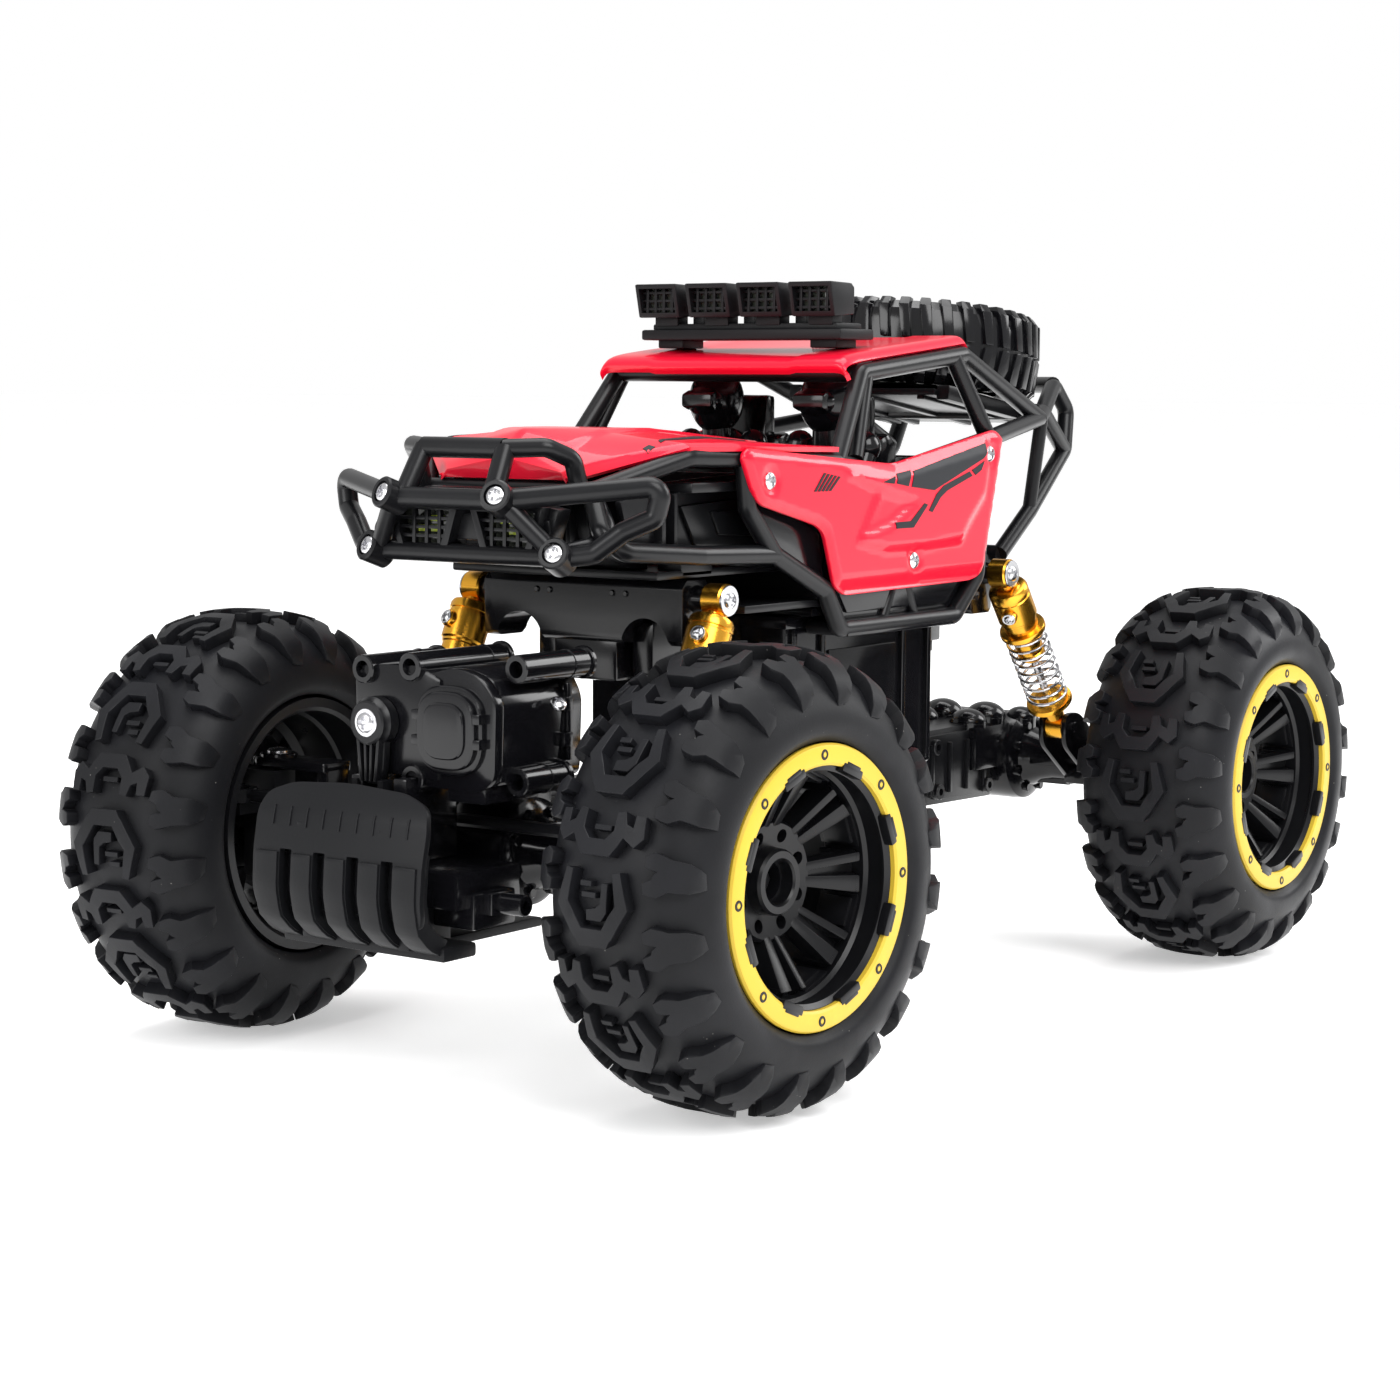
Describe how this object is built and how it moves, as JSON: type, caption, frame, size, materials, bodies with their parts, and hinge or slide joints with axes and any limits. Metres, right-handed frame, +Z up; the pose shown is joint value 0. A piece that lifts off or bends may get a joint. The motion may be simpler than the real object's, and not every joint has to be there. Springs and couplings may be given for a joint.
{
  "type": "remote control car",
  "caption": "Rock-crawler buggy toy with sprung live axles, front steering, deep-dish beadlock wheels, tube cage and red panels.",
  "frame": {"origin": "on the ground under the middle of the car's length and width", "axes": "+X forward, +Y the car's left, +Z up"},
  "size_m": [0.4196, 0.2512, 0.232],
  "materials": {
    "black_plastic": "satin black moulding",
    "matte_plastic": "matte dark grey moulding",
    "red_panel": "gloss red paint on pressed metal",
    "tyre_rubber": "matte rubber",
    "yellow_ring": "satin yellow",
    "gold_alloy": "gold anodised",
    "steel": "bright",
    "lamp": "dark lamp body with clear lens",
    "circuit": "green board",
    "cell": "shrink wrap",
    "brass": "machined"
  },
  "bodies": {
    "root": {"chassis_tub": "black_plastic", "battery_door": "matte_plastic", "battery_pack": "cell", "circuit_board": "circuit", "front_shock_tower": "black_plastic", "rear_shock_tower": "black_plastic", "interior_tray": "matte_plastic", "hood_panel": "red_panel", "left_side_panel": "red_panel", "right_side_panel": "red_panel", "roof_panel": "red_panel", "roll_cage": "black_plastic", "rear_cage": "black_plastic", "front_bumper": "black_plastic", "bumper_lamps": "lamp", "roof_light_bar": "matte_plastic", "spare_tyre": "tyre_rubber"},
    "front_axle": {"front_axle_housing": "black_plastic", "front_tongue": "black_plastic", "front_motor": "steel", "steering_gearbox_case": "black_plastic", "servo_motor_cover": "black_plastic", "servo_motor": "steel", "front_skid_plate": "matte_plastic"},
    "rear_axle": {"rear_axle_housing": "black_plastic", "rear_tongue": "black_plastic", "rear_motor": "steel"},
    "servo_arm": {"servo_arm": "matte_plastic"},
    "tie_rod": {"tie_rod": "black_plastic"},
    "left_knuckle": {"left_knuckle": "black_plastic"},
    "right_knuckle": {"right_knuckle": "black_plastic"},
    "front_left_wheel": {"front_left_tyre": "tyre_rubber", "front_left_rim": "black_plastic", "front_left_bead_ring": "yellow_ring"},
    "front_right_wheel": {"front_right_tyre": "tyre_rubber", "front_right_rim": "black_plastic", "front_right_bead_ring": "yellow_ring"},
    "rear_wheels": {"rear_left_tyre": "tyre_rubber", "rear_left_rim": "black_plastic", "rear_left_bead_ring": "yellow_ring", "rear_right_tyre": "tyre_rubber", "rear_right_rim": "black_plastic", "rear_right_bead_ring": "yellow_ring", "rear_axle_shaft": "steel"},
    "front_axle_shaft": {"front_axle_shaft": "steel"},
    "front_pinion": {"front_pinion": "brass"},
    "rear_pinion": {"rear_pinion": "brass"},
    "front_left_shock_body": {"front_left_shock_body": "gold_alloy", "front_left_shock_spring": "steel"},
    "front_left_shock_rod": {"front_left_shock_rod": "gold_alloy"},
    "front_right_shock_body": {"front_right_shock_body": "gold_alloy", "front_right_shock_spring": "steel"},
    "front_right_shock_rod": {"front_right_shock_rod": "gold_alloy"},
    "rear_left_shock_body": {"rear_left_shock_body": "gold_alloy", "rear_left_shock_spring": "steel"},
    "rear_left_shock_rod": {"rear_left_shock_rod": "gold_alloy"},
    "rear_right_shock_body": {"rear_right_shock_body": "gold_alloy", "rear_right_shock_spring": "steel"},
    "rear_right_shock_rod": {"rear_right_shock_rod": "gold_alloy"}
  },
  "joints": [
    {"name": "front_axle_bounce", "type": "hinge", "parent": "root", "child": "front_axle", "pos_m": [0.052, 0, 0.08], "axis": [0, -1, 0], "range_deg": [0, 8], "stiffness_Nm_per_rad": 6, "springref_deg": -12},
    {"name": "rear_axle_bounce", "type": "hinge", "parent": "root", "child": "rear_axle", "pos_m": [-0.052, 0, 0.08], "axis": [0, 1, 0], "range_deg": [0, 8], "stiffness_Nm_per_rad": 6, "springref_deg": -12},
    {"name": "left_steer", "type": "hinge", "parent": "front_axle", "child": "left_knuckle", "pos_m": [0.144, 0.082, 0.065], "axis": [0, 0, 1], "range_deg": [-18, 18]},
    {"name": "right_steer", "type": "hinge", "parent": "front_axle", "child": "right_knuckle", "pos_m": [0.144, -0.082, 0.065], "axis": [0, 0, 1], "range_deg": [-18.5, 18.5]},
    {"name": "tie_rod_slide", "type": "slide", "parent": "front_axle", "child": "tie_rod", "axis": [0, 1, 0], "range_m": [-0.00564, 0.00564]},
    {"name": "servo_swing", "type": "hinge", "parent": "front_axle", "child": "servo_arm", "pos_m": [0.188, -0.003, 0.105], "axis": [1, 0, 0], "range_deg": [-18, 18]},
    {"name": "front_left_wheel_spin", "type": "hinge", "parent": "left_knuckle", "child": "front_left_wheel", "pos_m": [0.14489, 0.09467, 0.065], "axis": [0.0698, 0.9976, 0], "continuous": true},
    {"name": "front_right_wheel_spin", "type": "hinge", "parent": "right_knuckle", "child": "front_right_wheel", "pos_m": [0.14489, -0.09467, 0.065], "axis": [-0.0698, 0.9976, 0], "continuous": true},
    {"name": "front_axle_shaft_spin", "type": "hinge", "parent": "front_axle", "child": "front_axle_shaft", "pos_m": [0.144, 0, 0.065], "axis": [0, 1, 0], "continuous": true},
    {"name": "front_pinion_spin", "type": "hinge", "parent": "front_axle", "child": "front_pinion", "pos_m": [0.134, 0, 0.065], "axis": [1, 0, 0], "continuous": true},
    {"name": "rear_wheels_spin", "type": "hinge", "parent": "rear_axle", "child": "rear_wheels", "pos_m": [-0.144, 0, 0.065], "axis": [0, 1, 0], "continuous": true},
    {"name": "rear_pinion_spin", "type": "hinge", "parent": "rear_axle", "child": "rear_pinion", "pos_m": [-0.134, 0, 0.065], "axis": [1, 0, 0], "continuous": true},
    {"name": "front_left_shock_swing", "type": "hinge", "parent": "root", "child": "front_left_shock_body", "pos_m": [0.091, 0.046, 0.136], "axis": [0, -1, 0], "range_deg": [-1, 4.64]},
    {"name": "front_left_shock_travel", "type": "slide", "parent": "front_left_shock_body", "child": "front_left_shock_rod", "axis": [-0.4343, 0, 0.9008], "range_m": [0, 0.00864], "deforming": ["front_left_shock_spring"]},
    {"name": "front_right_shock_swing", "type": "hinge", "parent": "root", "child": "front_right_shock_body", "pos_m": [0.091, -0.046, 0.136], "axis": [0, -1, 0], "range_deg": [-1, 4.64]},
    {"name": "front_right_shock_travel", "type": "slide", "parent": "front_right_shock_body", "child": "front_right_shock_rod", "axis": [-0.4343, 0, 0.9008], "range_m": [0, 0.00864], "deforming": ["front_right_shock_spring"]},
    {"name": "rear_left_shock_swing", "type": "hinge", "parent": "root", "child": "rear_left_shock_body", "pos_m": [-0.076, 0.046, 0.136], "axis": [0, 1, 0], "range_deg": [-1, 5.59]},
    {"name": "rear_left_shock_travel", "type": "slide", "parent": "rear_left_shock_body", "child": "rear_left_shock_rod", "axis": [0.6, 0, 0.8], "range_m": [0, 0.00773], "deforming": ["rear_left_shock_spring"]},
    {"name": "rear_right_shock_swing", "type": "hinge", "parent": "root", "child": "rear_right_shock_body", "pos_m": [-0.076, -0.046, 0.136], "axis": [0, 1, 0], "range_deg": [-1, 5.59]},
    {"name": "rear_right_shock_travel", "type": "slide", "parent": "rear_right_shock_body", "child": "rear_right_shock_rod", "axis": [0.6, 0, 0.8], "range_m": [0, 0.00773], "deforming": ["rear_right_shock_spring"]}
  ],
  "couplings": [
    {"joint": "right_steer", "follows": "left_steer", "ratio": 1},
    {"joint": "tie_rod_slide", "follows": "left_steer", "m_per_rad": 0.017},
    {"joint": "servo_swing", "follows": "left_steer", "ratio": 0.94444},
    {"joint": "front_right_wheel_spin", "follows": "front_left_wheel_spin", "ratio": 1},
    {"joint": "front_axle_shaft_spin", "follows": "front_left_wheel_spin", "ratio": 1},
    {"joint": "front_pinion_spin", "follows": "front_left_wheel_spin", "ratio": -3},
    {"joint": "rear_pinion_spin", "follows": "rear_wheels_spin", "ratio": -3},
    {"joint": "front_left_shock_swing", "follows": "front_axle_bounce", "ratio": 0.45498},
    {"joint": "front_left_shock_travel", "follows": "front_axle_bounce", "m_per_rad": 0.060479},
    {"joint": "front_right_shock_swing", "follows": "front_axle_bounce", "ratio": 0.45498},
    {"joint": "front_right_shock_travel", "follows": "front_axle_bounce", "m_per_rad": 0.060479},
    {"joint": "rear_left_shock_swing", "follows": "rear_axle_bounce", "ratio": 0.57358},
    {"joint": "rear_left_shock_travel", "follows": "rear_axle_bounce", "m_per_rad": 0.053955},
    {"joint": "rear_right_shock_swing", "follows": "rear_axle_bounce", "ratio": 0.57358},
    {"joint": "rear_right_shock_travel", "follows": "rear_axle_bounce", "m_per_rad": 0.053955}
  ]
}
